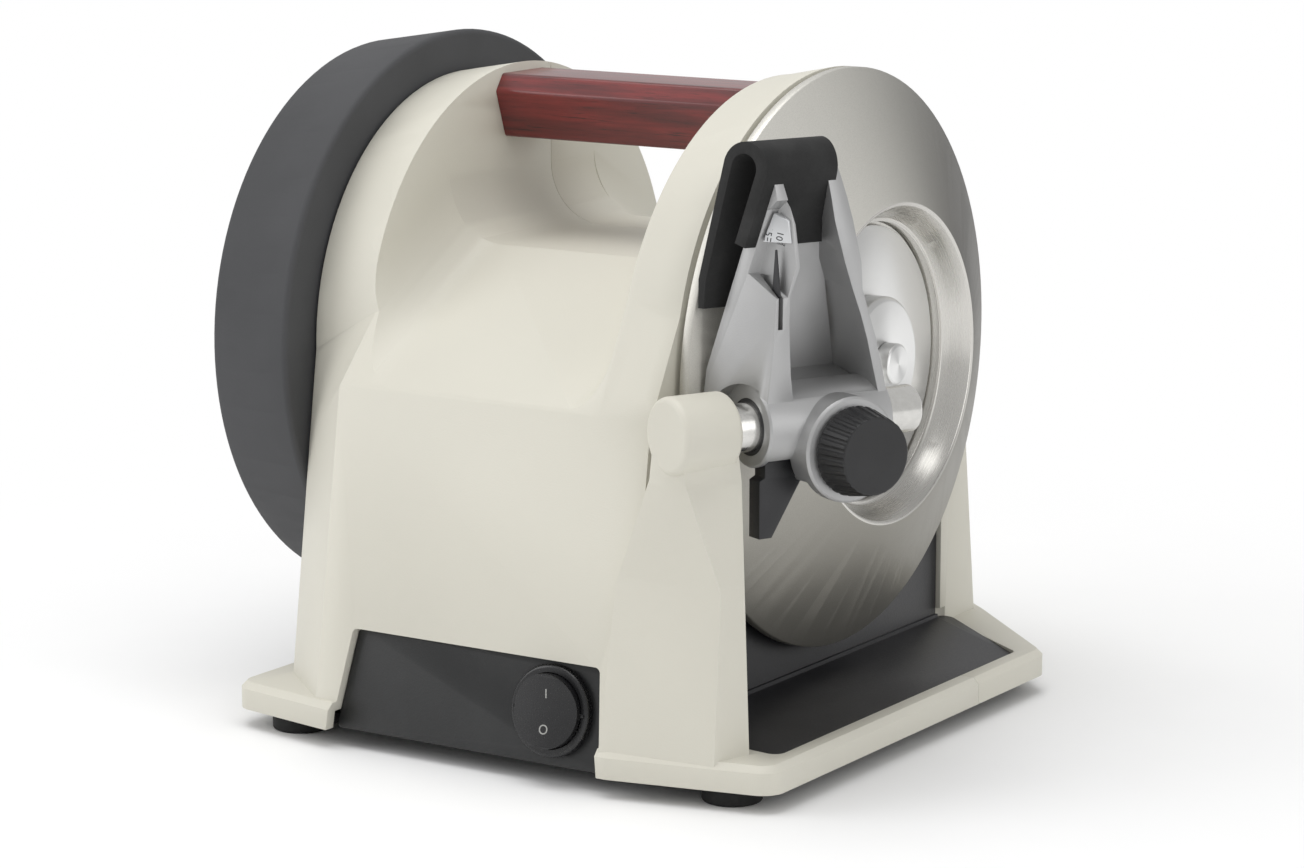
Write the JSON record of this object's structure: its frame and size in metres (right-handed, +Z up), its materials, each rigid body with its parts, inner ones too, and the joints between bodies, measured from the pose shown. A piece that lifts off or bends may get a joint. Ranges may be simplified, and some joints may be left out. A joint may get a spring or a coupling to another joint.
{
  "type": "electric knife sharpener",
  "caption": "Motor sharpener with a conical diamond wheel, a honing wheel on the other side, a wooden carrying handle and a knife guide that slides and tilts on a bar.",
  "frame": {"origin": "On the floor under the wheel axis, midway between the two arches of the housing", "axes": "+X along the wheel axis towards the diamond wheel, +Y to the back, +Z up"},
  "size_m": [0.2069, 0.2, 0.1739],
  "materials": {
    "housing_paint": "satin powder coat",
    "black_plastic": "fine texture, matt",
    "switch_black": "semi-gloss",
    "foot_rubber": "matt",
    "band_rubber": "matt",
    "handle_wood": "stained and lacquered",
    "diamond_steel": "fine diamond coating, satin",
    "bright_steel": "machined",
    "disc_alloy": "satin",
    "guide_alloy": "bead blasted",
    "honing_compound": "matt composite",
    "zinc_screws": "zinc plated",
    "frame_steel": "plain sheet",
    "motor_steel": "laminated",
    "copper": "enamelled copper wire",
    "belt_rubber": "matt",
    "board": "printed board",
    "brass_pins": "plated"
  },
  "bodies": {
    "base": {"bar_screw": "zinc_screws", "base_cover": "black_plastic", "carry_handle": "handle_wood", "control_board": "board", "drive_belt": "belt_rubber", "foot_screws": "zinc_screws", "handle_bolts": "zinc_screws", "housing_front": "housing_paint", "housing_rear": "housing_paint", "inlet_pins": "brass_pins", "inner_frame": "frame_steel", "motor_bearings": "bright_steel", "motor_can": "frame_steel", "motor_end_cap_drive": "disc_alloy", "motor_end_cap_fan": "disc_alloy", "motor_screws": "zinc_screws", "motor_stator": "motor_steel", "motor_windings": "copper", "power_inlet": "black_plastic", "rubber_feet": "foot_rubber", "run_capacitor": "black_plastic", "shaft_bearing_left": "bright_steel", "shaft_bearing_right": "bright_steel", "side_tray": "black_plastic", "support_bar": "bright_steel", "switch_body": "switch_black", "switch_panel": "black_plastic"},
    "wheel_set": {"main_shaft": "bright_steel", "driven_pulley": "black_plastic", "diamond_wheel": "diamond_steel", "hub_disc": "disc_alloy", "hub_nut": "disc_alloy", "hub_button": "disc_alloy", "honing_wheel": "honing_compound", "honing_flange": "bright_steel", "honing_washer": "zinc_screws", "honing_nut": "zinc_screws", "wheel_spacer": "bright_steel"},
    "motor_rotor_set": {"motor_rotor": "motor_steel", "motor_shaft": "bright_steel", "motor_pinion": "bright_steel", "cooling_fan": "black_plastic"},
    "rocker": {"switch_rocker": "switch_black"},
    "liner": {"bar_liner": "black_plastic"},
    "sleeve": {"angle_sleeve": "black_plastic"},
    "guide": {"guide_frame": "guide_alloy", "angle_scale": "disc_alloy", "jaw_band": "band_rubber"},
    "knob": {"clamp_knob": "black_plastic", "knob_stud": "zinc_screws"}
  },
  "joints": [
    {"name": "wheel_spin", "type": "hinge", "parent": "base", "child": "wheel_set", "pos_m": [0, 0, 0.095], "axis": [1, 0, 0], "continuous": true},
    {"name": "motor_spin", "type": "hinge", "parent": "base", "child": "motor_rotor_set", "pos_m": [0, 0.032, 0.045], "axis": [1, 0, 0], "continuous": true},
    {"name": "switch_rock", "type": "hinge", "parent": "base", "child": "rocker", "pos_m": [0.034, -0.09485, 0.01861], "axis": [1, 0, 0], "range_deg": [-8, 8]},
    {"name": "guide_slide", "type": "slide", "parent": "base", "child": "liner", "axis": [0.4221, 0.9065, 0], "range_m": [-0.006, 0.024]},
    {"name": "guide_swing", "type": "hinge", "parent": "liner", "child": "sleeve", "pos_m": [0.07279, -0.08049, 0.0903], "axis": [0.4221, 0.9065, 0], "range_deg": [0, 25]},
    {"name": "angle_setting", "type": "hinge", "parent": "sleeve", "child": "guide", "pos_m": [0.07279, -0.08049, 0.0903], "axis": [0.4221, 0.9065, 0], "range_deg": [-5, 5]},
    {"name": "knob_turn", "type": "hinge", "parent": "guide", "child": "knob", "pos_m": [0.0986, -0.05964, 0.0848], "axis": [0.9065, -0.4221, 0], "range_deg": [0, 360]}
  ],
  "couplings": [
    {"joint": "motor_spin", "follows": "wheel_spin", "ratio": 10}
  ]
}
